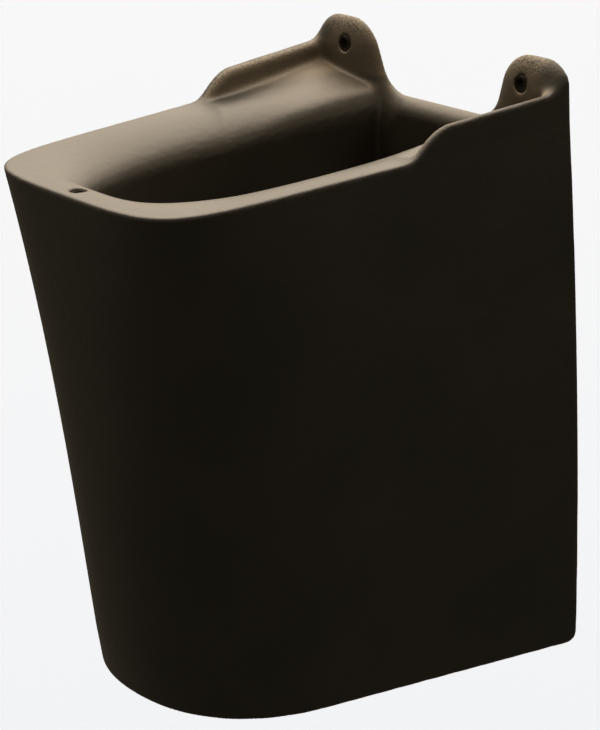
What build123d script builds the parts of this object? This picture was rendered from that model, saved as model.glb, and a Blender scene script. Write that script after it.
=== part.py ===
"""Wall-hung china shroud that hides the trap under a basin.

Frame: millimetres, +Z up, the wall is the plane y = 0 and the shroud stands out
towards -Y.  The origin lies on the wall, midway between the two wall-screw holes.
"""
import os
from math import cos, pi, sin, sqrt

from build123d import *

# ---------------------------------------------------------------- driving dimensions
# Heights, measured along the wall
screw_above_rim = 23.5          # screw line above the level rim
rim_above_foot = 400.0          # rim above the foot, at the wall
foot_rise = 0.094               # the foot climbs this much per mm of depth
# Plan outline at the rim and at the foot
rim_half_width = 130.5          # at the wall
rim_depth = 328.0               # wall to the front of the rim
rim_taper = 0.074               # inward lean of each side, per mm of depth
rim_straight = 158.0            # length of the straight part of each side
rim_fullness = (0.97, 1.02)     # front corner handles, side end and front end
foot_half_width = 129.5
foot_depth = 312.0
foot_taper = 0.122
foot_straight = 218.0
foot_fullness = (0.63, 0.58)
side_bow = 4.5                  # the sides stand out by this much halfway up
depth_bow = 0.64                # how early the front reaches the rim depth
corner_bow = 2.3                # how late the front corners turn square
skin_sections = 6
# China thickness
wall = 10.0                     # outer wall
flange = 24.0                   # rim flange, at its outer edge
collar_wall = 9.0               # collar that hangs round the opening
collar_length = 90.0            # collar, below the rim
# Dished flange that falls from the rim into the opening
land = 9.0                      # level land along the outer edge
dish_width = 34.0               # land to the throat
dish_drop = 26.5                # rim down to the throat
dish_sections = 6
throat_half_width = 56.0        # at the wall
throat_taper = -0.084           # the throat widens towards the front
throat_straight = 90.0
throat_fullness = (1.05, 0.30)
throat_draft = 4.0              # the collar opens by this much at its lower end
# Raised side walls
side_rise = 19.0                # top of the step above the rim
side_rise_at_ear = 22.5         # top of the side wall at the wall face
side_wall = 8.5
step_start = 136.0              # foot of the step, from the wall
step_end = 97.0                 # top of the step, from the wall
# Ears and back bar
plate = 14.5                    # ear and back bar thickness
ear_height = 42.5               # ear top above the rim
ear_base = 57.0                 # inner side of an ear at the bar, from the middle
ear_lean = 18.0                 # the inner side leans out by this much
ear_radii = (26.0, 26.0, 26.0)  # at the bar, top inner corner, top outer corner
bar_below_rim = 9.5             # top of the back bar below the rim
# Holes and their sleeves
screw_half_spacing = 94.5
screw_hole_radius = 6.0
sleeve_bore_radius = 4.25
sleeve_recess = 1.5             # a sleeve starts this far inside the china
pin_hole_radius = 5.5
pin_hole_setback = 13.0         # behind the front of the rim
pin_bore_radius = 3.75
pin_sleeve_length = 10.0
# Rounding
ear_edge_land = 1.5             # flat edge of the ears behind their rounded front edge
foot_corner_radius = 9.0        # lower back corner of each side
# Cutting clearances
clear = 30.0                    # cutters run this far past what they cut
overcut = 1.0                   # cutters that must stay short run this far past
edge_band = 0.1                 # half width of the bands that edges are picked from

# ---------------------------------------------------------------- derived values
screw_places = (-screw_half_spacing, screw_half_spacing)
pin_y = -rim_depth + pin_hole_setback
rim_z = -screw_above_rim
foot_z = rim_z - rim_above_foot
collar_z = rim_z - collar_length
bar_z = rim_z - bar_below_rim
ear_z = rim_z + ear_height
flange_z = rim_z - flange
collar_out = throat_half_width + collar_wall
ear_edge_radius = plate - ear_edge_land


def blend(first, second, share):
    """Value between two values."""
    return first + (second - first) * share


def outline(half_width, depth, taper, straight, fullness, back=0.0, stretch=1.0):
    """Closed U outline: two leaning sides, two Bezier corners and a straight back."""
    side_end = half_width - taper * straight
    reach = fullness[0] * (depth - straight)
    corner = half_width + taper * back
    with BuildLine() as path:
        Line((corner, back * stretch), (side_end, -straight * stretch))
        Bezier(
            (side_end, -straight * stretch),
            (side_end - taper * reach, -(straight + reach) * stretch),
            (fullness[1] * side_end, -depth * stretch),
            (0, -depth * stretch),
        )
        mirror(about=Plane.YZ)
        Line((corner, back * stretch), (-corner, back * stretch))
    return path.line


def skin_outline(share, inset=0.0, back=0.0, stretch=1.0):
    """Outer outline at a share of the height, moved in by inset."""
    square = share**corner_bow
    bow = 4 * side_bow * share * (1 - share)
    fullness = [blend(low, high, square) for low, high in zip(foot_fullness, rim_fullness)]
    return outline(
        blend(foot_half_width, rim_half_width, share) + bow - inset,
        blend(foot_depth, rim_depth, share**depth_bow) - inset,
        blend(foot_taper, rim_taper, share),
        blend(foot_straight, rim_straight, share),
        fullness,
        back,
        stretch,
    )


def skin_plane(share):
    """Plane of an outer outline: level at the rim, sloped like the foot at the foot."""
    height = foot_z + rim_above_foot * share
    slope = foot_rise * (1 - share)
    return Plane(origin=(0, 0, height), x_dir=(1, 0, 0), z_dir=(0, slope, 1))


def skin_stretch(share):
    """Length along a sloped outline plane per mm of depth."""
    return sqrt(1 + (foot_rise * (1 - share)) ** 2)


def mouth_outline(share, widen=0.0, back=clear):
    """Outline of the opening: 0 is the land at the rim, 1 is the throat."""
    fullness = [blend(rim, throat, share) for rim, throat in zip(rim_fullness, throat_fullness)]
    return outline(
        blend(rim_half_width - land, throat_half_width, share) + widen,
        rim_depth - land - dish_width * share + widen,
        blend(rim_taper, throat_taper, share),
        blend(rim_straight, throat_straight, share),
        fullness,
        back,
    )


# ---------------------------------------------------------------- pieces of the casting
# Side walls: a band inside the outer skin, cut to the step's profile
with BuildPart() as sides:
    with BuildSketch(Plane.YZ):
        with BuildLine():
            Polyline(
                (-step_end, rim_z + side_rise),
                (0, rim_z + side_rise_at_ear),
                (0, flange_z),
                (-step_start, flange_z),
                (-step_start, rim_z),
            )
            bend = (step_start - step_end) / 2
            Bezier(
                (-step_start, rim_z),
                (-step_start + bend, rim_z),
                (-step_end - bend, rim_z + side_rise),
                (-step_end, rim_z + side_rise),
            )
        make_face()
    extrude(amount=2 * rim_half_width, both=True)
    with BuildSketch(Plane.XY.offset(flange_z)):
        add(skin_outline(1))
        make_face()
        add(skin_outline(1, side_wall, clear))
        make_face(mode=Mode.SUBTRACT)
    extrude(amount=flange + ear_height, mode=Mode.INTERSECT)

# Backboard: two ears joined by the bar that closes the back of the collar
with BuildPart() as backboard:
    with BuildSketch(Plane.XZ):
        with BuildLine():
            Polyline(
                (0, bar_z),
                (ear_base, bar_z),
                (ear_base + ear_lean, ear_z),
                (rim_half_width, ear_z),
                (rim_half_width, flange_z),
                (collar_out, flange_z),
                (collar_out, collar_z),
                (0, collar_z),
            )
            mirror(about=Plane.YZ)
        make_face()
        for height, x, radius in (
            (bar_z, ear_base, ear_radii[0]),
            (ear_z, ear_base + ear_lean, ear_radii[1]),
            (ear_z, rim_half_width, ear_radii[2]),
        ):
            corners = vertices().filter_by_position(Axis.Y, height - edge_band, height + edge_band)
            fillet([v for v in corners if abs(abs(v.X) - x) < edge_band], radius)
    extrude(amount=plate)
    arches = edges().filter_by_position(Axis.Y, -plate - edge_band, -plate + edge_band)
    fillet([e for e in arches if e.center().Z > bar_z - edge_band], ear_edge_radius)
    with BuildSketch(Plane.XY.offset(collar_z)):
        add(skin_outline(1))
        make_face()
    extrude(amount=collar_length + ear_height, mode=Mode.INTERSECT)

# ---------------------------------------------------------------- china casting
with BuildPart() as casting:
    # Outer skin, solid
    for share in [n / (skin_sections - 1) for n in range(skin_sections)]:
        with BuildSketch(skin_plane(share)):
            add(skin_outline(share, stretch=skin_stretch(share)))
            make_face()
    loft()

    # Chamber below the flange, open at the back and at the foot
    chamber_top = 1 - flange / rim_above_foot
    for share in [chamber_top * n / (skin_sections - 1) for n in range(skin_sections)]:
        with BuildSketch(skin_plane(share)):
            add(skin_outline(share, wall, clear, skin_stretch(share)))
            make_face()
    loft(mode=Mode.SUBTRACT)

    # Collar round the opening
    with BuildSketch(Plane.XY.offset(collar_z)):
        add(mouth_outline(1, collar_wall, back=0))
        make_face()
    extrude(amount=collar_length - flange / 2)

    # Dish: a quarter ellipse that falls from the land into the throat
    for step in range(dish_sections + 1):
        turn = pi / 2 * step / dish_sections
        with BuildSketch(Plane.XY.offset(rim_z - dish_drop * (1 - cos(turn)))):
            add(mouth_outline(sin(turn)))
            make_face()
    loft(mode=Mode.SUBTRACT)

    # Throat, opening a little towards its lower end
    with BuildSketch(Plane.XY.offset(rim_z - dish_drop)):
        add(mouth_outline(1))
        make_face()
    with BuildSketch(Plane.XY.offset(collar_z - overcut)):
        add(mouth_outline(1, throat_draft))
        make_face()
    loft(mode=Mode.SUBTRACT)

    # Rounded lower back corners
    with BuildSketch(Plane.YZ):
        with BuildLine():
            CenterArc((-foot_corner_radius, foot_z + foot_corner_radius), foot_corner_radius, -90, 90)
            Polyline(
                (0, foot_z + foot_corner_radius),
                (overcut, foot_z + foot_corner_radius),
                (overcut, foot_z - overcut),
                (-foot_corner_radius, foot_z - overcut),
                (-foot_corner_radius, foot_z),
            )
        make_face()
    extrude(amount=2 * rim_half_width, both=True, mode=Mode.SUBTRACT)

    # Side walls that rise from the rim towards the wall
    add(sides)

    # Ears and back bar, cut to the outline of the outer skin
    add(backboard)

    # Screw holes through the ears
    with Locations(*[Plane((x, 0, 0), z_dir=(0, 1, 0)) for x in screw_places]):
        Cylinder(screw_hole_radius, 2 * clear, mode=Mode.SUBTRACT)

    # Locating-pin hole through the front of the flange
    with Locations((0, pin_y, rim_z)):
        Cylinder(pin_hole_radius, 4 * clear, mode=Mode.SUBTRACT)

casting.part.label = "china_shroud"
os.makedirs("parts", exist_ok=True)
export_step(casting.part, "parts/china_shroud.step")

# ---------------------------------------------------------------- sleeves in the holes
for side, x in zip(("left", "right"), screw_places):
    with BuildPart() as screw_sleeve:
        with BuildSketch(Plane.XZ):
            with Locations((x, 0)):
                Circle(screw_hole_radius)
                Circle(sleeve_bore_radius, mode=Mode.SUBTRACT)
        extrude(amount=plate - sleeve_recess)
    screw_sleeve.part.label = side + "_screw_sleeve"
    export_step(screw_sleeve.part, "parts/" + side + "_screw_sleeve.step")

with BuildPart() as pin_sleeve:
    with BuildSketch(Plane.XY.offset(rim_z - sleeve_recess - pin_sleeve_length)):
        with Locations((0, pin_y)):
            Circle(pin_hole_radius)
            Circle(pin_bore_radius, mode=Mode.SUBTRACT)
    extrude(amount=pin_sleeve_length)
pin_sleeve.part.label = "front_pin_sleeve"
export_step(pin_sleeve.part, "parts/front_pin_sleeve.step")
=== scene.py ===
# %% [markdown]
# # A basin shroud in glazed china
# A shroud like this hangs on the wall under a washbasin and hides the trap.  It is slip
# cast: liquid clay sets against a plaster mould, so every inner corner is soft and every
# edge is rounded.  The lesson rebuilds that one casting around the CAD frame, glazes it,
# and hangs it over a pale floor in soft studio light.

import math

import bpy
import numpy as np
from mathutils import Matrix, Vector


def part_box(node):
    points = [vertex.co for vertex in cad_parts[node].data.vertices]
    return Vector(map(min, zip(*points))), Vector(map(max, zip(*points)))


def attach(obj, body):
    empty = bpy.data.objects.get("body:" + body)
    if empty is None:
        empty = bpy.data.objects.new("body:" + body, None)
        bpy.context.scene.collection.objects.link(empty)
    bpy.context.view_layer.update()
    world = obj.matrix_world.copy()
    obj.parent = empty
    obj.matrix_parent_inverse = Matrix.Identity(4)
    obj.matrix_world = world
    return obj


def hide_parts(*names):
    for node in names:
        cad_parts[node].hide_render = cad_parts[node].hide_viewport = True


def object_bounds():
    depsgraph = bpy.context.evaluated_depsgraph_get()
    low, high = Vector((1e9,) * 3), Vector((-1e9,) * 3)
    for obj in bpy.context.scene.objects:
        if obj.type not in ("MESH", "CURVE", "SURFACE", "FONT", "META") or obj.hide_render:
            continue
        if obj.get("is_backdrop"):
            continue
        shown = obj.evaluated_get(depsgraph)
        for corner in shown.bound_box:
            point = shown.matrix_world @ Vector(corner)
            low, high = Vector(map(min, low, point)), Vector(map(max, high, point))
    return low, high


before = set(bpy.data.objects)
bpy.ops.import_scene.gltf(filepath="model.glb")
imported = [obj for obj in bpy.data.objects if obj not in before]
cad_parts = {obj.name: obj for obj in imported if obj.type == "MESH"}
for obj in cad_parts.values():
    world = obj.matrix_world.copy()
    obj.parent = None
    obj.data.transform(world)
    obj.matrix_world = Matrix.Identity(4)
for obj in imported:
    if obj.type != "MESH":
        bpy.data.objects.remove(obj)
cad_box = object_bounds()
print("nodes:", sorted(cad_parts))
print("CAD box:", [[round(v, 4) for v in corner] for corner in cad_box])

# %% [markdown]
# ## Step 1: sizes of the casting
# The CAD solid has the true sizes but plain corners.  A cast piece is better described by
# distances: how far a point lies from the outer skin, from the opening, from an ear.  Where
# two such distances are joined softly, the corner between them fills in like wet clay.
# The sizes below are the CAD model's own, and the places come from its box.

# %% Named sizes, in metres
mm = 0.001
low_corner, high_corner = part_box("china_shroud")
foot_z = low_corner.z                   # the foot, where it meets the wall
rim_z = foot_z + 400 * mm               # the level rim
rim_depth = -low_corner.y
ear_top = high_corner.z
foot_rise = 0.094                       # the foot climbs this much per metre of depth

wall = 10 * mm
flange = 24 * mm
collar_wall = 9 * mm
collar_length = 90 * mm
collar_z = rim_z - collar_length
land = 9 * mm
dish_width = 34 * mm
dish_drop = 26.5 * mm
front_reach = 7 * mm                    # the opening runs this much further at the front
throat_draft = 4 * mm
side_wall = 8.5 * mm
plate = 14.5 * mm
bar_z = rim_z - 9.5 * mm
hole_x = 94.5 * mm
hole_radius = 6 * mm
pin_y = -rim_depth + 13 * mm
pin_radius = 5.5 * mm

rim_shape = dict(
    half_width=130.5 * mm,
    depth=rim_depth,
    taper=0.074,
    straight=158 * mm,
    fullness=(0.97, 1.02),
)
foot_shape = dict(
    half_width=129.5 * mm,
    depth=312 * mm,
    taper=0.122,
    straight=218 * mm,
    fullness=(0.63, 0.58),
)
throat_shape = dict(
    half_width=56 * mm,
    depth=rim_depth - land - dish_width + front_reach,
    taper=-0.084,
    straight=90 * mm,
    fullness=(1.05, 0.30),
)
print("rim at", round(rim_z, 4), "foot at", round(foot_z, 4), "ear top at", round(ear_top, 4))

# %% [markdown]
# ## Step 2: a grid to cast on
# The mould is a block of points.  The points are close together round the rim, where the
# shape is busy, and farther apart down the plain walls.  The shroud is the same on both
# sides, so only the right half is worked out.

# %% Grid lines
fine = 1.5 * mm
margin = 3 * fine
grid_half_width = 141 * mm
foot_band = 38 * mm                     # fine enough for the foot and its corners
collar_band = 12 * mm                   # above and below the end of the collar
dish_band = 54 * mm                     # below the rim


def spread(bands):
    """Grid lines through bands of (start, end, spacing)."""
    lines = [np.arange(start, end, step) for start, end, step in bands]
    return np.concatenate(lines)


grid_x = (np.arange(round(grid_half_width / fine)) + 0.5) * fine
grid_y = spread([(-rim_depth - margin, margin, fine)])
grid_z = spread(
    [
        (foot_z - margin, foot_z + foot_band, 1.4 * fine),
        (foot_z + foot_band, collar_z - collar_band, 3.4 * fine),
        (collar_z - collar_band, collar_z + collar_band, 1.4 * fine),
        (collar_z + collar_band, rim_z - dish_band, 2 * fine),
        (rim_z - dish_band, ear_top + margin, fine),
    ]
)
x = grid_x[:, None, None].astype(np.float32)
y = grid_y[None, :, None].astype(np.float32)
z = grid_z[None, None, :].astype(np.float32)
print("grid", len(grid_x), len(grid_y), len(grid_z))

# %% [markdown]
# ## Step 3: distances
# Every outline of the shroud is a U: two leaning sides and a rounded front.  `u_line` draws
# the right half of it with a Bezier corner, and `u_between` blends two such shapes.

# %% Outlines
SEGMENTS = 60
PAST_WALL = 30 * mm                     # outlines run this far behind the wall face


def mix(first, second, share):
    """Value between two values."""
    return first + (second - first) * share


def u_line(half_width, depth, taper, straight, fullness):
    """Right half of a U outline, from behind the wall face to the middle of the front."""
    side_end = half_width - taper * straight
    reach = fullness[0] * (depth - straight)
    handles = np.array(
        [
            (side_end, -straight),
            (side_end - taper * reach, -straight - reach),
            (fullness[1] * side_end, -depth),
            (0, -depth),
        ]
    )
    t = np.linspace(0, 1, SEGMENTS)[:, None]
    weights = ((1 - t) ** 3, 3 * t * (1 - t) ** 2, 3 * t**2 * (1 - t), t**3)
    corner = sum(w * h for w, h in zip(weights, handles))
    return np.vstack([(half_width + taper * PAST_WALL, PAST_WALL), corner])


def u_between(first, second, share, side_bow=0.0, depth_share=None, corner_share=None):
    """A U outline part of the way from one shape to another."""
    corner_share = share if corner_share is None else corner_share
    depth_share = share if depth_share is None else depth_share
    return u_line(
        mix(first["half_width"], second["half_width"], share) + side_bow,
        mix(first["depth"], second["depth"], depth_share),
        mix(first["taper"], second["taper"], share),
        mix(first["straight"], second["straight"], share),
        [mix(a, b, corner_share) for a, b in zip(first["fullness"], second["fullness"])],
    )


print("an outline has", len(u_line(**rim_shape)), "points")

# %% [markdown]
# `distance_to` measures each grid point from a line, with a minus sign on the inner side.
# `soft_min` and `soft_max` are the wet clay: they join two distances or keep what both
# share, and round the corner between them.


# %% Distances and soft joins
def distance_to(line, across, along):
    """Signed distance from a line, negative on its inner side."""
    best = np.full(np.broadcast(across, along).shape, np.inf, np.float32)
    side = np.ones_like(best)
    for start, end in zip(line[:-1], line[1:]):
        step = end - start
        length = step @ step
        da, db = across - start[0], along - start[1]
        t = np.clip((da * step[0] + db * step[1]) / length, 0, 1)
        far = (da - t * step[0]) ** 2 + (db - t * step[1]) ** 2
        nearer = far < best
        best = np.where(nearer, far, best)
        side = np.where(nearer, np.sign(step[0] * db - step[1] * da), side)
    return np.sqrt(best) * side


def soft_min(a, b, reach):
    """Joins two solids and fills the inner corner over this reach."""
    near = np.maximum(reach - np.abs(a - b), 0) / reach
    return np.minimum(a, b) - near * near * reach / 4


def soft_max(a, b, reach):
    """Keeps what two solids share and rounds the edge over this reach."""
    return -soft_min(-a, -b, reach)


def ease(low, high, value):
    """0 below low, 1 above high, and smooth between."""
    t = np.clip((value - low) / (high - low), 0, 1)
    return t * t * (3 - 2 * t)


print("a corner with a reach of 8 mm fills in by", round(float(-soft_min(0, 0, 8 * mm)), 4))

# %% [markdown]
# The outer skin changes from foot to rim: the front leans out, the sides bow a little and
# the front corners turn squarer.  Distances are measured at a few levels and read off
# between them, because that is far quicker than measuring all levels.

# %% Distance from the outer skin
LEVELS = 14
SIDE_BOW = 4.5 * mm
DEPTH_BOW = 0.64                        # how early the front reaches the rim's depth
CORNER_BOW = 2.3                        # how late the corners turn square
flat_x, flat_y = grid_x[:, None], grid_y[None, :]


def skin_line(share):
    """Outer outline at a share of the height."""
    bow = 4 * SIDE_BOW * share * (1 - share)
    return u_between(foot_shape, rim_shape, share, bow, share**DEPTH_BOW, share**CORNER_BOW)


skin_lines = [skin_line(n / (LEVELS - 1)) for n in range(LEVELS)]
skin_levels = np.array([distance_to(line, flat_x, flat_y) for line in skin_lines])
foot_line = foot_z - foot_rise * grid_y
skin = np.empty((len(grid_x), len(grid_y), len(grid_z)), np.float32)
rows = np.arange(len(grid_y))
for n, height in enumerate(grid_z):
    share = np.clip((height - foot_line) / (rim_z - foot_line), 0, 1) * (LEVELS - 1)
    lower = np.minimum(share.astype(int), LEVELS - 2)
    below, above = skin_levels[lower, :, rows], skin_levels[lower + 1, :, rows]
    skin[:, :, n] = mix(below, above, (share - lower)[:, None]).T
print("skin distances", [round(float(v), 4) for v in (skin.min(), skin.max())])

# %% [markdown]
# The flange falls from a narrow level land into the throat along a quarter ellipse.
# `dish` is the height above that surface near the rim and the distance from the throat
# farther down.  The two are combined so that the result stays close to a true distance.
# The ellipse is squarer at the back and at the front, where the flange stays level longer.

# %% Distance from the dished opening
TURNS = 10
land_shape = dict(rim_shape, half_width=rim_shape["half_width"] - land, depth=rim_depth - land)
shares = np.sin(np.linspace(0, math.pi / 2, TURNS))
mouth_lines = [u_between(land_shape, throat_shape, share) for share in shares]
mouth_levels = np.array([distance_to(line, flat_x, flat_y) for line in mouth_lines])
throat = mouth_levels[-1][:, :, None]
ROUND, SQUARE, FRONT_SQUARE = 2.0, 2.7, 0.4
squareness = mix(ROUND, SQUARE, ease(-150 * mm, -30 * mm, grid_y))
squareness = squareness + FRONT_SQUARE * ease(-240 * mm, -300 * mm, grid_y)

surface = np.where(mouth_levels[0] > 0, 0.0, -1.0)
for n in range(TURNS - 1):
    start, end = mouth_levels[n], mouth_levels[n + 1]
    crossing = (start <= 0) & (end > 0)
    part = np.where(crossing, -start / np.where(crossing, end - start, 1), 0)
    share = mix(shares[n], shares[n + 1], part)
    level = (1 - share**squareness) ** (1 / squareness)
    surface = np.where(crossing, -dish_drop * (1 - level), surface)

above_surface = z - rim_z - surface[:, :, None].astype(np.float32)
from_mouth = np.empty_like(skin)
for n, height in enumerate(grid_z):
    level = np.clip(1 + (height - rim_z) / dish_drop, 0, 1)
    share = (1 - level**squareness) ** (1 / squareness)
    place = np.arcsin(share) / (math.pi / 2) * (TURNS - 1)
    lower = np.minimum(place.astype(int), TURNS - 2)
    wider, narrower = mouth_levels[lower, :, rows], mouth_levels[lower + 1, :, rows]
    from_mouth[:, :, n] = -mix(wider, narrower, (place - lower)[:, None]).T
down_collar = np.clip((rim_z - dish_drop - z) / (collar_length - dish_drop), 0, 1)
from_mouth = from_mouth + throat_draft * down_collar
both = np.abs(above_surface * from_mouth) / np.sqrt(above_surface**2 + from_mouth**2 + 1e-12)
dish = np.where(z > rim_z, above_surface, np.sign(above_surface) * both)
dish = np.where(z > rim_z - dish_drop, dish, from_mouth).astype(np.float32)
print("dish falls to", round(float(surface[surface > -1].min()), 4), "below the rim")

# %% [markdown]
# The ears and the back bar are one plate seen from the front.  Its face is domed: near the
# outline the plate thins along an ellipse, wide on the ears, narrow on the bar and narrow
# again at the outer side, where an ear runs on into the skin.

# %% Distance from the plate with the ears
ARC_STEPS = 10


def rounded(points, radii):
    """A line through points with its inner corners turned into arcs."""
    points = [np.array(p, float) for p in points]
    line = [points[0]]
    for before, corner, after, radius in zip(points, points[1:], points[2:], radii):
        to_start = (before - corner) / np.linalg.norm(before - corner)
        to_end = (after - corner) / np.linalg.norm(after - corner)
        half = math.acos(float(np.clip(to_start @ to_end, -1, 1))) / 2
        first = corner + to_start * radius / math.tan(half)
        last = corner + to_end * radius / math.tan(half)
        middle = to_start + to_end
        centre = corner + middle / np.linalg.norm(middle) * radius / math.sin(half)
        for t in np.linspace(0, 1, ARC_STEPS):
            spoke = mix(first, last, t) - centre
            line.append(centre + spoke / np.linalg.norm(spoke) * radius)
    line.append(points[-1])
    return np.array(line)


ear_inner, ear_lean, ear_out = 57 * mm, 18 * mm, 133.5 * mm
ear_line = rounded(
    [
        (-1 * mm, bar_z),
        (ear_inner, bar_z),
        (ear_inner + ear_lean, ear_top),
        (ear_out, ear_top),
        (ear_out, foot_z),
    ],
    (26 * mm, 30 * mm, 24 * mm),
)
plate_edge = distance_to(ear_line, grid_x[:, None], grid_z[None, :])[:, None, :]
BAR_DOME, EAR_DOME, OUTER_LOSS = 12 * mm, 32 * mm, 0.7
on_ear = ease(30 * mm, 58 * mm, x) - OUTER_LOSS * ease(102 * mm, 126 * mm, x)
dome_width = mix(BAR_DOME, EAR_DOME, on_ear)
dome_depth = 14 * mm
inward = np.maximum(plate_edge + dome_width, 0) / dome_width
forward = np.maximum(-y - plate + dome_depth, 0) / dome_depth
ellipse = np.sqrt(inward**2 + forward**2 + 1e-9)
slope = np.sqrt((inward / dome_width) ** 2 + (forward / dome_depth) ** 2 + 1e-9) / ellipse
ears = ((ellipse - 1) / slope).astype(np.float32)
plate_foot = np.where(throat > collar_wall, rim_z - flange, collar_z) - z
ears = np.maximum(ears, plate_foot)
print("ear plate distances", [round(float(v), 4) for v in (ears.min(), ears.max())])

# %% [markdown]
# The side walls rise over the rim in an S and meet the ears.  They are a band just inside
# the skin, cut off at a height that depends on the distance from the wall.

# %% Distance from the raised side walls
STEP_REACH, TOP_REACH = 8 * mm, 7 * mm
step_foot, step_top = -133 * mm, -110 * mm
rise, rise_at_wall = 18.5 * mm, 22.5 * mm
ramp = (y - step_foot) / (step_top - step_foot) * rise
shelf = mix(rise, rise_at_wall, (y - step_top) / -step_top)
top_of_side = soft_min(ramp, shelf, STEP_REACH)
top_slope = np.gradient(top_of_side[0, :, 0], grid_y)[None, :, None]
over_top = (z - rim_z - top_of_side) / np.sqrt(1 + top_slope**2)
sides = soft_max(-(skin + side_wall), over_top.astype(np.float32), TOP_REACH)
sides = np.maximum(sides, rim_z - flange - z)
print("side walls rise", round(float(top_of_side.max()), 4))

# %% [markdown]
# ## Step 4: join the pieces like clay
# First the walls, the flange and the collar that hangs round the throat are joined, and the
# opening is cut.  How softly two pieces meet is set by one reach for each kind of corner.

# %% Shell, flange and collar
FLANGE_REACH, COLLAR_END_REACH = 8 * mm, 5 * mm
under_flange = z - rim_z + flange / 2
shell = np.maximum(-(skin + wall), under_flange)
slab = rim_z - flange - z
collar = soft_max(throat - collar_wall, collar_z - z, COLLAR_END_REACH)
collar = np.maximum(collar, under_flange)
body = soft_min(soft_min(shell, slab, FLANGE_REACH), collar, FLANGE_REACH)
body = np.maximum(body, dish)
print("shell holds", int((body < 0).sum()), "grid points")

# %% [markdown]
# Beside the back of the opening the flange rises to the side walls in a sloping ledge.  It is
# one slanted plane that sinks away towards the front, cut off at the throat.

# %% Ledge at the back
LEDGE_SLOPE, LEDGE_REACH = 0.26, 8 * mm
LEDGE_HEIGHT, LEDGE_PLACE = 3.6 * mm, 104 * mm      # above the rim, this far from the middle
MIDDLE_SINK, FRONT_SINK = 9 * mm, 20 * mm
LEDGE_SETBACK = 7 * mm                  # from the throat
ledge_drop = MIDDLE_SINK * (1 - ease(-110 * mm, -14 * mm, y))
ledge_drop = ledge_drop + FRONT_SINK * (1 - ease(-180 * mm, -80 * mm, y))
ledge_top = rim_z + LEDGE_HEIGHT - LEDGE_SLOPE * (LEDGE_PLACE - x) - ledge_drop
ledge_fill = (z - ledge_top) / math.sqrt(1 + LEDGE_SLOPE**2)
ledge_fill = soft_max(ledge_fill, np.maximum(LEDGE_SETBACK - throat, slab), LEDGE_REACH)
body = soft_min(body, ledge_fill, LEDGE_REACH)
print("with the ledge", int((body < 0).sum()), "grid points")

# %% [markdown]
# The side walls and ears are added, and last the skin, the wall face, the foot and the holes
# trim the whole.  Only the right half was worked out, so it is mirrored here.

# %% Walls, ears and trims
EAR_REACH, EDGE_REACH, FOOT_REACH, HOLE_REACH = 10 * mm, 2.2 * mm, 3 * mm, 1.2 * mm
BACK_CORNER_REACH = 10 * mm
RIM_REACH, WALL_REACH = 4 * mm, 6 * mm  # at the ends and along the middle of a side wall
upper = soft_min(sides, ears, EAR_REACH)
along = ease(-128 * mm, -104 * mm, y) - ease(-60 * mm, -22 * mm, y)
body = soft_min(body, upper, mix(RIM_REACH, WALL_REACH, along))
body = soft_max(body, skin, EDGE_REACH)
foot_cut = (foot_z - foot_rise * y - z) / math.sqrt(1 + foot_rise**2)
body = soft_max(body, soft_max(foot_cut, y + 0 * z, BACK_CORNER_REACH), FOOT_REACH)
ear_hole = hole_radius - np.sqrt((x - hole_x) ** 2 + z**2)
pin_hole = pin_radius - np.sqrt(x**2 + (y - pin_y) ** 2)
body = soft_max(body, ear_hole, HOLE_REACH)
body = soft_max(body, np.where(z > rim_z - flange - wall, pin_hole, -1.0), HOLE_REACH)
body = np.concatenate([body[::-1], body]).astype(np.float32)
full_x = np.concatenate([-grid_x[::-1], grid_x])
print("casting holds", int((body < 0).sum()), "of", body.size, "grid points")

# %% [markdown]
# ## Step 5: turn the distances into a mesh
# Surface nets: every grid cell that the surface passes through gets one vertex, at the
# middle of the places where the surface crosses the cell's edges.  Each crossed grid line
# then gets one quad.  The mesh is made of even quads, which take a smooth gloss well.

# %% Surface nets
CORNERS = [(a, b, c) for a in (0, 1) for b in (0, 1) for c in (0, 1)]


def surface_net(field, lines):
    """Vertices and quads of the surface where the field is zero."""
    solid = field < 0
    wide, deep, tall = (length - 1 for length in solid.shape)
    count = sum(
        solid[a : a + wide, b : b + deep, c : c + tall].astype(np.uint8) for a, b, c in CORNERS
    )
    cells = np.argwhere((count > 0) & (count < 8))
    number = np.full(count.shape, -1, np.int32)
    number[tuple(cells.T)] = np.arange(len(cells))
    total, hits = np.zeros((len(cells), 3)), np.zeros(len(cells))
    for start in CORNERS:
        for axis in range(3):
            if start[axis]:
                continue
            end = list(start)
            end[axis] = 1
            first, last = cells + start, cells + end
            a, b = field[tuple(first.T)], field[tuple(last.T)]
            crossed = (a < 0) != (b < 0)
            t = np.where(crossed, a / np.where(crossed, a - b, 1), 0)
            spot = [mix(lines[n][first[:, n]], lines[n][last[:, n]], t) for n in range(3)]
            total += np.stack(spot, 1) * crossed[:, None]
            hits += crossed
    quads = []
    for axis in range(3):
        one, two = [n for n in range(3) if n != axis]
        ahead = [slice(None)] * 3
        ahead[axis] = slice(1, None)
        back = [slice(None)] * 3
        back[axis] = slice(None, -1)
        for entering in (True, False):
            here, there = solid[tuple(back)], solid[tuple(ahead)]
            edge = np.argwhere(~here & there if entering else here & ~there)
            ring = []
            for da, db in ((-1, -1), (0, -1), (0, 0), (-1, 0)):
                cell = edge.copy()
                cell[:, one] += da
                cell[:, two] += db
                ring.append(number[tuple(cell.T)])
            flip = entering != (axis == 1)
            quads.append(np.stack(ring[::-1] if flip else ring, 1))
    return total / hits[:, None], np.concatenate(quads)


spots, quads = surface_net(body, (full_x, grid_y, grid_z))
print("net:", len(spots), "vertices,", len(quads), "quads")

# %% [markdown]
# Averaged crossings leave a faint ripple.  A few rounds of smoothing, out and back in, take
# most of it away and leave the size alone.

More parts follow.
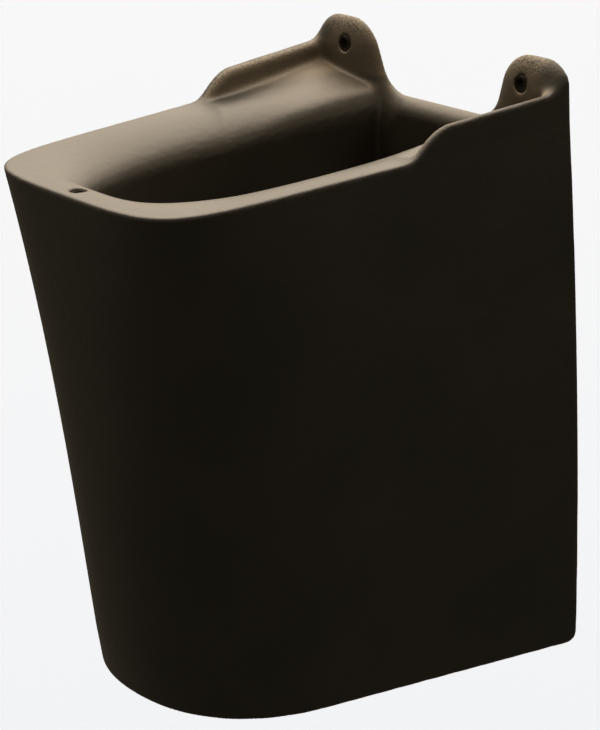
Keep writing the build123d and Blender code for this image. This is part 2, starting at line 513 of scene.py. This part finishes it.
# %% Smooth the net
SMOOTH_ROUNDS = 3
PULL_OUT, PUSH_BACK = 0.5, -0.52        # out and back in, so that the volume stays


def smoothed(spots, quads, rounds):
    """Vertices after rounds of smoothing that keep the volume."""
    edges = np.concatenate([quads[:, [n, (n + 1) % 4]] for n in range(4)])
    degree = np.bincount(edges.ravel(), minlength=len(spots))[:, None]
    for n in range(2 * rounds):
        pull = np.zeros_like(spots)
        for k in range(3):
            pull[:, k] = np.bincount(edges[:, 0], spots[edges[:, 1], k], len(spots))
            pull[:, k] += np.bincount(edges[:, 1], spots[edges[:, 0], k], len(spots))
        spots = spots + (pull / degree - spots) * (PULL_OUT if n % 2 == 0 else PUSH_BACK)
    return spots


print("smoothing in rounds of", SMOOTH_ROUNDS)

# %% [markdown]
# After smoothing, every vertex slides back to where the distance is exactly zero, because
# gloss on a plain wall shows even a hair's breadth.

# %% Slide back to the surface
LONGEST_SLIDE = 0.3 * mm
LEAST_STEEPNESS = 0.2                   # keeps a slide short where the field is flat


def slid_back(spots, field, lines):
    """Vertices moved along the slope of the field to where it is zero."""
    lower, part, size = [], [], []
    for n, line in enumerate(lines):
        at = np.clip(np.searchsorted(line, spots[:, n]) - 1, 0, len(line) - 2)
        lower.append(at)
        size.append(line[at + 1] - line[at])
        part.append((spots[:, n] - line[at]) / size[n])
    value, slopes = np.zeros(len(spots)), np.zeros((len(spots), 3))
    for corner in CORNERS:
        here = field[tuple(at + step for at, step in zip(lower, corner))]
        shares = [p if step else 1 - p for p, step in zip(part, corner)]
        value += here * shares[0] * shares[1] * shares[2]
        for n in range(3):
            others = shares[(n + 1) % 3] * shares[(n + 2) % 3]
            slopes[:, n] += here * others * (1 if corner[n] else -1) / size[n]
    steepness = np.maximum((slopes**2).sum(1), LEAST_STEEPNESS)
    slide = np.clip(value / steepness, -LONGEST_SLIDE, LONGEST_SLIDE)
    return spots - slopes * slide[:, None]


for n in range(2):
    spots = smoothed(spots, quads, SMOOTH_ROUNDS)
    spots = slid_back(spots, body, (full_x, grid_y, grid_z))
spots = smoothed(spots, quads, 1)
spots = np.clip(spots, np.array(low_corner), np.array(high_corner))
print("lowest vertex", round(float(spots[:, 2].min()), 4))

# %% [markdown]
# The finished vertices and quads become one object.


# %% The casting as an object
def mesh_piece(name, spots, faces):
    """A smooth-shaded object made of these vertices and faces."""
    mesh = bpy.data.meshes.new(name)
    mesh.from_pydata(spots.tolist(), [], faces.tolist())
    mesh.shade_smooth()
    piece = bpy.data.objects.new(name, mesh)
    bpy.context.scene.collection.objects.link(piece)
    return piece


shroud = mesh_piece("cast_shroud", spots, quads)
print("shroud:", len(shroud.data.polygons), "faces, size", [round(v, 4) for v in shroud.dimensions])

# %% [markdown]
# ## Step 6: where the glaze lies thin, dry or not at all, with painted light
# Glaze runs off raised edges and pools in hollows.  On the inner side of the raised walls,
# on the ears and on the ledge between them the brown of the body shows, and a little shows
# inside, where the glaze was poured in and out again.  This brown is partly thin glaze and
# partly painted light: it is strongest on level faces that face up and weaker on faces turned
# to the front, standing in for the warm light that these faces mirror, and inside it is
# partly painted bounce light.  On the tops the glaze is dry and grainy, and its specks there
# are a painted speckled highlight.  The wall face and the foot are wiped clean
# before firing, because glaze would stick to the kiln shelf.  The grid already knows how
# far each place is from the skin, so these three measures are stored on the mesh as
# attributes and the material reads them by name.

# %% Where each vertex lies
across, deep_in, up_high = np.abs(spots[:, 0]), spots[:, 1], spots[:, 2]
cells = [
    np.clip(np.searchsorted(line, value), 0, len(line) - 1)
    for line, value in zip((grid_x, grid_y, grid_z), (across, deep_in, up_high))
]
depth_in_skin = -skin[cells[0], cells[1], cells[2]]
over_rim = up_high - rim_z
over_side = over_rim - top_of_side[0, cells[1], 0]
normals = np.empty(len(spots) * 3, np.float32)
shroud.data.vertices.foreach_get("normal", normals)
level = ease(0.15, 0.8, normals[2::3])
facing_front = ease(0.5, 0.9, -normals[1::3])
print("deepest vertex", round(float(depth_in_skin.max()), 4), "from the skin")

# %% Glaze measures
WALL_SHARE, LEDGE_SHARE, POURED_AND_BOUNCE_SHARE = 0.62, 0.40, 0.12
FRONT_FACING_SHADE, OUTER_EAR_SHADE = 0.35, 0.85            # how much less shows there
behind_step = ease(-152 * mm, -122 * mm, deep_in)
inner_side = ease(1.5 * mm, 5 * mm, depth_in_skin)
# painted light: more brown on level faces that face up, less on faces turned to the front
ledge = LEDGE_SHARE * ease(-135 * mm, -30 * mm, deep_in) * level
raised = mix(WALL_SHARE, 1.0, level) * (1 - FRONT_FACING_SHADE * facing_front)
raised = raised * ease(-1 * mm, 5 * mm, over_rim)
# painted shade: little brown on the outer ear above the side wall
outer_ear = ease(104 * mm, 120 * mm, across) * ease(1 * mm, 5 * mm, over_side)
thin_and_painted_light = behind_step * np.maximum(ledge, raised)
thin_and_painted_light = thin_and_painted_light * inner_side * ease(-16 * mm, -3 * mm, over_rim) * (1 - OUTER_EAR_SHADE * outer_ear)
# inside, the brown is partly poured thin glaze and partly painted bounce light
poured_and_bounce_light = POURED_AND_BOUNCE_SHARE * ease(6 * mm, 14 * mm, depth_in_skin) * ease(2 * mm, -12 * mm, over_rim)
thin_and_painted_light = np.maximum(thin_and_painted_light, poured_and_bounce_light)
# dry tops and the dry band on the side wall tops: real roughness and grain, and a painted speckled
# highlight
wall_top = ease(-5 * mm, -1.5 * mm, over_side) * ease(-16 * mm, -24 * mm, deep_in)
dry_and_glint = behind_step * np.maximum(wall_top, ease(27 * mm, 37 * mm, over_rim))
foot_depth = (up_high - foot_z + foot_rise * deep_in) / math.sqrt(1 + foot_rise**2)
bare = 1 - ease(0.25 * mm, 0.8 * mm, np.minimum(foot_depth, -deep_in))


def store(piece, name, values):
    """Puts one number per vertex on the mesh under a name."""
    layer = piece.data.attributes.new(name, "FLOAT", "POINT")
    layer.data.foreach_set("value", np.ascontiguousarray(values, dtype=np.float32))


for name, values in (("thin_glaze_and_painted_light", thin_and_painted_light), ("dry_glaze_and_painted_glint", dry_and_glint), ("bare_clay", bare)):
    store(shroud, name, values)
    print(name, "covers", round(float(np.mean(values > 0.5)) * 100, 1), "% of the vertices")

# %% [markdown]
# ## Step 7: shared effects as node groups
# Two effects serve more than one material.  `mottle` is slow, cloudy variation, as in glaze
# that melted unevenly or plastic that cooled unevenly.  `fine_relief` is the small relief of
# the surface: orange peel in glaze, spark-eroded grain in moulded plastic.  Each is built once
# with named sockets and placed in every material with its own values.

# %% Node helpers
def new_group(name, inputs, outputs):
    """An empty shader node group with named number sockets, and its two end nodes."""
    tree = bpy.data.node_groups.new(name, "ShaderNodeTree")
    for label, value in inputs.items():
        socket = tree.interface.new_socket(label, in_out="INPUT", socket_type="NodeSocketFloat")
        socket.default_value = value
    for label in outputs:
        tree.interface.new_socket(label, in_out="OUTPUT", socket_type="NodeSocketFloat")
    return tree, tree.nodes.new("NodeGroupInput"), tree.nodes.new("NodeGroupOutput")


def noise(tree, scale, detail):
    """Noise in object space; scale may be a number or a socket."""
    node = tree.nodes.new("ShaderNodeTexNoise")
    node.inputs["Detail"].default_value = detail
    coordinates = tree.nodes.new("ShaderNodeTexCoord")
    tree.links.new(coordinates.outputs["Object"], node.inputs["Vector"])
    if isinstance(scale, (int, float)):
        node.inputs["Scale"].default_value = scale
    else:
        tree.links.new(scale, node.inputs["Scale"])
    return node.outputs["Fac"]


def remap(tree, value, low, high, bottom, top, kind="LINEAR"):
    """Maps a value between two ends to two levels."""
    node = tree.nodes.new("ShaderNodeMapRange")
    node.interpolation_type = kind
    sockets = ("From Min", "From Max", "To Min", "To Max")
    for socket, number in zip(sockets, (low, high, bottom, top)):
        node.inputs[socket].default_value = number
    tree.links.new(value, node.inputs["Value"])
    return node.outputs["Result"]


def combine(tree, operation, first, second):
    """One math step on two sockets or numbers."""
    node = tree.nodes.new("ShaderNodeMath")
    node.operation = operation
    for socket, value in zip(node.inputs, (first, second)):
        if isinstance(value, (int, float)):
            socket.default_value = value
        else:
            tree.links.new(value, socket)
    return node.outputs["Value"]


print("node groups so far:", len(bpy.data.node_groups))

# %% Mottle
MOTTLE_SOCKETS = {"Scale": 12.0, "Low": 0.35, "High": 0.65}
mottle, mottle_in, mottle_out = new_group("mottle", MOTTLE_SOCKETS, ["Shade"])
mottle_range = mottle.nodes.new("ShaderNodeMapRange")
mottle.links.new(noise(mottle, mottle_in.outputs["Scale"], 4), mottle_range.inputs["Value"])
mottle.links.new(mottle_in.outputs["Low"], mottle_range.inputs["From Min"])
mottle.links.new(mottle_in.outputs["High"], mottle_range.inputs["From Max"])
mottle.links.new(mottle_range.outputs["Result"], mottle_out.inputs["Shade"])
print("mottle:", len(mottle.nodes), "nodes")

# %% Fine relief
RELIEF_SOCKETS = {"Scale": 300.0, "Grain Scale": 1500.0, "Grain": 0.2}
relief, relief_in, relief_out = new_group("fine_relief", RELIEF_SOCKETS, ["Height"])
waves = noise(relief, relief_in.outputs["Scale"], 1)
sand = noise(relief, relief_in.outputs["Grain Scale"], 2)
grain = combine(relief, "MULTIPLY", sand, relief_in.outputs["Grain"])
relief.links.new(combine(relief, "ADD", waves, grain), relief_out.inputs["Height"])
print("groups:", [group.name for group in bpy.data.node_groups])

# %% [markdown]
# Four small helpers place a group in a material, blend two colours, start a material and
# read a stored measure.


# %% Helpers for materials
def place_group(tree, group, **values):
    """A group placed in a material; values are numbers or sockets."""
    node = tree.nodes.new("ShaderNodeGroup")
    node.node_tree = group
    for name, value in values.items():
        socket = node.inputs[name.replace("_", " ")]
        if isinstance(value, (int, float)):
            socket.default_value = value
        else:
            tree.links.new(value, socket)
    return node.outputs[0]


def blend_colours(tree, share, first, second):
    """Colour between two colours or sockets."""
    node = tree.nodes.new("ShaderNodeMix")
    node.data_type = "RGBA"
    tree.links.new(share, node.inputs["Factor"])
    for socket, colour in zip((node.inputs[6], node.inputs[7]), (first, second)):
        if isinstance(colour, tuple):
            socket.default_value = (*colour, 1)
        else:
            tree.links.new(colour, socket)
    return node.outputs[2]


def new_material(name):
    """A material, its tree and its Principled shader."""
    material = bpy.data.materials.new(name)
    material.use_nodes = True
    return material, material.node_tree, material.node_tree.nodes["Principled BSDF"]


def read_measure(tree, name):
    """One of the numbers stored on the mesh."""
    node = tree.nodes.new("ShaderNodeAttribute")
    node.attribute_name = name
    return node.outputs["Fac"]


print("measures to read:", [layer.name for layer in shroud.data.attributes][-3:])

# %% [markdown]
# The glaze is nearly black with a satin gloss.  Where it is thin the colour breaks to brown
# in fine specks, and this brown is partly painted sheen: the warm light that level faces
# mirror, painted into their colour.  Where it is dry the relief is coarse, and where the clay
# is bare it is buff and dull.  The specks come from fine noise that scales the stored measure
# up and down.  Where the glaze is dry the noise swings so far that some specks stay black, a
# painted speckled highlight.

# %% Black glaze
DEEP_GLAZE, POOLED_GLAZE = (0.0042, 0.0056, 0.0052), (0.0070, 0.0074, 0.0060)
THIN_GLAZE_AND_SHEEN, PALER_GLAZE_AND_SHEEN = (0.115, 0.094, 0.066), (0.165, 0.138, 0.102)
CLAY, DARK_CLAY = (0.40, 0.36, 0.30), (0.30, 0.27, 0.22)

glaze, tree, shader = new_material("black_glaze")
cloud = place_group(tree, mottle, Scale=11.0, Low=0.34, High=0.66)
speck = noise(tree, 750.0, 3)
dryness_and_glint = read_measure(tree, "dry_glaze_and_painted_glint")
# painted speckled highlight: on dry tops the specks swing between black and brown
glint_fleck = remap(tree, speck, 0.42, 0.56, -0.75, 0.45)
glint_fleck = combine(tree, "MULTIPLY", dryness_and_glint, glint_fleck)
flecked = combine(tree, "ADD", remap(tree, speck, 0.30, 0.65, 0.80, 1.15), glint_fleck)
thinness_and_painted_light = combine(tree, "MULTIPLY", read_measure(tree, "thin_glaze_and_painted_light"), flecked)
deep = blend_colours(tree, cloud, DEEP_GLAZE, POOLED_GLAZE)
# partly thin glaze, partly painted sheen of the warm light on level faces; the two browns differ by
# mottle
brown_and_sheen = blend_colours(tree, cloud, THIN_GLAZE_AND_SHEEN, PALER_GLAZE_AND_SHEEN)
glazed = blend_colours(tree, thinness_and_painted_light, deep, brown_and_sheen)
wander = remap(tree, noise(tree, 260.0, 3), 0.3, 0.7, -0.25, 0.25)
ragged = combine(tree, "ADD", read_measure(tree, "bare_clay"), wander)
bareness = remap(tree, ragged, 0.35, 0.60, 0.0, 1.0, "SMOOTHSTEP")
clay = blend_colours(tree, cloud, CLAY, DARK_CLAY)
tree.links.new(blend_colours(tree, bareness, glazed, clay), shader.inputs["Base Color"])
uneven = combine(tree, "MAXIMUM", dryness_and_glint, read_measure(tree, "thin_glaze_and_painted_light"))
duller = combine(tree, "MULTIPLY", uneven, 0.16)
satin = combine(tree, "ADD", remap(tree, cloud, 0.0, 1.0, 0.38, 0.44), duller)
dull = combine(tree, "MAXIMUM", satin, combine(tree, "MULTIPLY", bareness, 0.85))
tree.links.new(dull, shader.inputs["Roughness"])
grain_share = combine(tree, "ADD", combine(tree, "MAXIMUM", dryness_and_glint, bareness), 0.02)
height = place_group(tree, relief, Scale=170.0, Grain_Scale=950.0, Grain=grain_share)
bump = tree.nodes.new("ShaderNodeBump")
bump.inputs["Strength"].default_value = 0.55
bump.inputs["Distance"].default_value = 0.35 * mm
tree.links.new(height, bump.inputs["Height"])
tree.links.new(bump.outputs["Normal"], shader.inputs["Normal"])
shader.inputs["IOR"].default_value = 1.5
shroud.data.materials.append(glaze)
print("black glaze:", len(tree.nodes), "nodes")

# %% [markdown]
# The sleeves that line the three holes are moulded nylon: black, matt and finely grained,
# with pale scuffs from the screws.  They are the CAD model's own solids.

# %% Sleeve plastic
BLACK_NYLON, SCUFFED_NYLON = (0.012, 0.010, 0.007), (0.024, 0.020, 0.014)

plastic, tree, shader = new_material("sleeve_plastic")
scuff = place_group(tree, mottle, Scale=160.0, Low=0.45, High=0.75)
nylon = blend_colours(tree, scuff, BLACK_NYLON, SCUFFED_NYLON)
tree.links.new(nylon, shader.inputs["Base Color"])
tree.links.new(remap(tree, scuff, 0.0, 1.0, 0.85, 0.65), shader.inputs["Roughness"])
bump = tree.nodes.new("ShaderNodeBump")
bump.inputs["Strength"].default_value = 0.4
bump.inputs["Distance"].default_value = 0.05 * mm
height = place_group(tree, relief, Scale=900.0, Grain_Scale=4000.0, Grain=0.6)
tree.links.new(height, bump.inputs["Height"])
tree.links.new(bump.outputs["Normal"], shader.inputs["Normal"])
shader.inputs["Specular IOR Level"].default_value = 0.15
for name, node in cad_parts.items():
    if name != "china_shroud":
        node.data.materials.clear()
        node.data.materials.append(plastic)
        print(name, "gets", plastic.name)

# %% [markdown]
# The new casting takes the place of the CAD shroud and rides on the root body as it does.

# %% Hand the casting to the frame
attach(shroud, "root")
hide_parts("china_shroud")
print(shroud.name, "replaces china_shroud")

# %% [markdown]
# ## Step 8: camera
# The camera stands to the right of the front and a little above the rim, so that the dished
# opening, one side and the rounded front all show.  A long lens keeps the sides nearly
# parallel.

# %% Camera
CAMERA_DISTANCE = 1.6
SHIFT_LEFT, SHIFT_UP = 0.005471, 0.025398
LENS, SENSOR = 73.02, 24                # millimetres, as on a real camera

azimuth, elevation, roll = math.radians(52.739), math.radians(21.565), math.radians(-3.564)
right = Vector((math.cos(azimuth), math.sin(azimuth), 0))
level_out = math.cos(elevation)
toward = Vector(
    (math.sin(azimuth) * level_out, -math.cos(azimuth) * level_out, math.sin(elevation))
)
up = toward.cross(right)
right, up = (
    right * math.cos(roll) + up * math.sin(roll),
    up * math.cos(roll) - right * math.sin(roll),
)
aim = Vector((0, -0.14, foot_z + 0.2))
camera_data = bpy.data.cameras.new("camera")
camera = bpy.data.objects.new("camera", camera_data)
bpy.context.scene.collection.objects.link(camera)
pose = Matrix((right, up, toward)).transposed().to_4x4()
pose.translation = aim + toward * CAMERA_DISTANCE - right * SHIFT_LEFT + up * SHIFT_UP
camera.matrix_world = pose
camera_data.sensor_fit = "VERTICAL"
camera_data.sensor_height = SENSOR
camera_data.lens = LENS
bpy.context.scene.camera = camera
print("camera at", [round(value, 3) for value in pose.translation])

# %% [markdown]
# ## Step 9: floor and light
# Black gloss shows only what it mirrors.  A wide soft dome behind and above the shroud turns
# its level surfaces light, and everything it sees towards the front stays dim, so that the
# walls stay black.  The room is a little brighter above the horizon than below it, and the
# camera itself sees a plain pale wall instead of the lights.

# %% Studio
DOME_CENTRE = Vector((-0.45, 0.5, 0.74)).normalized()
DOME_COLOUR = (1.0, 0.845, 0.665, 1)
DOME_POWER = 5.7
DOME_EDGE = 0.45                        # cosine of the angle where the dome ends
DOME_CORE = 0.95                        # cosine of the angle where it is brightest
ROOM_COLOUR = (1.0, 0.80, 0.55, 1)
ROOM_LOW, ROOM_HIGH = 0.12, 0.50        # below and above the horizon
LOW_DOME = 0.45                         # share of the dome's power at its lower edge
PALE = 0.945

world = bpy.data.worlds.new("studio")
world.use_nodes = True
bpy.context.scene.world = world
sky = world.node_tree
nodes, links = sky.nodes, sky.links
direction = nodes.new("ShaderNodeTexCoord").outputs["Generated"]


def glow(colour, strength):
    """A background of one colour with a varying strength."""
    node = nodes.new("ShaderNodeBackground")
    node.inputs["Color"].default_value = colour
    links.new(strength, node.inputs["Strength"])
    return node.outputs["Background"]


print("studio:", world.name)

# %% [markdown]
# The dome is strong where the direction of a ray comes near the dome's centre, and it is
# stronger high up than low down.  Room and dome are added, and rays from the camera are
# given the pale backdrop instead.

# %% Dome, room and backdrop
facing = nodes.new("ShaderNodeVectorMath")
facing.operation = "DOT_PRODUCT"
facing.inputs[1].default_value = DOME_CENTRE
links.new(direction, facing.inputs[0])
split = nodes.new("ShaderNodeSeparateXYZ")
links.new(direction, split.inputs["Vector"])
skyward = split.outputs["Z"]
dome = remap(sky, facing.outputs["Value"], DOME_EDGE, DOME_CORE, 0, DOME_POWER, "SMOOTHSTEP")
dome = combine(sky, "MULTIPLY", dome, remap(sky, skyward, 0.37, 0.80, LOW_DOME, 1.0))
room = remap(sky, skyward, -0.25, 0.3, ROOM_LOW, ROOM_HIGH, "SMOOTHSTEP")
light = nodes.new("ShaderNodeAddShader")
links.new(glow(DOME_COLOUR, dome), light.inputs[0])
links.new(glow(ROOM_COLOUR, room), light.inputs[1])
backdrop = nodes["Background"]
backdrop.inputs["Color"].default_value = (PALE, PALE, PALE, 1)
ray = nodes.new("ShaderNodeLightPath")
choose = nodes.new("ShaderNodeMixShader")
links.new(ray.outputs["Is Camera Ray"], choose.inputs["Fac"])
links.new(light.outputs["Shader"], choose.inputs[1])
links.new(backdrop.outputs["Background"], choose.inputs[2])
links.new(choose.outputs["Shader"], nodes["World Output"].inputs["Surface"])
print("studio light:", len(nodes), "nodes")

# %% [markdown]
# The floor is pale, and it lies well below the foot, as if the shroud hung on its wall.
# Neither gloss nor soft light sees it: in a studio a dark cloth lies there, out of the
# picture.  It has almost no mottle.

# %% Floor
FLOOR_GAP, FLOOR_SIZE = 0.28, 40
PALE_PAPER, PALER_PAPER = (0.367, 0.450, 0.608), (0.369, 0.452, 0.610)

pale, tree, shader = new_material("pale_floor")
paper = place_group(tree, mottle, Scale=0.6, Low=0.3, High=0.7)
tree.links.new(blend_colours(tree, paper, PALE_PAPER, PALER_PAPER), shader.inputs["Base Color"])
shader.inputs["Roughness"].default_value = 0.9
bpy.ops.mesh.primitive_plane_add(size=FLOOR_SIZE, location=(0, 0, foot_z - FLOOR_GAP))
floor = bpy.context.object
floor.name = "floor"
floor.data.materials.append(pale)
floor.visible_glossy = False
floor.visible_diffuse = False
floor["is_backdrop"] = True
print("floor", FLOOR_GAP, "m below the foot")

# %% [markdown]
# The standard view keeps the blacks black and the pale ground as pale as it is set.

# %% View
bpy.context.scene.view_settings.view_transform = "Standard"
print("view:", bpy.context.scene.view_settings.view_transform)

# %% [markdown]
# ## Step 10: the sizes and finish
# The finished piece should keep the CAD part's size, so both boxes are printed.

# %% Sizes and finish
boxes = {"cad": cad_box, "visual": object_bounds()}
boxes = {name: [list(corner) for corner in box] for name, box in boxes.items()}
print("boxes:", boxes)
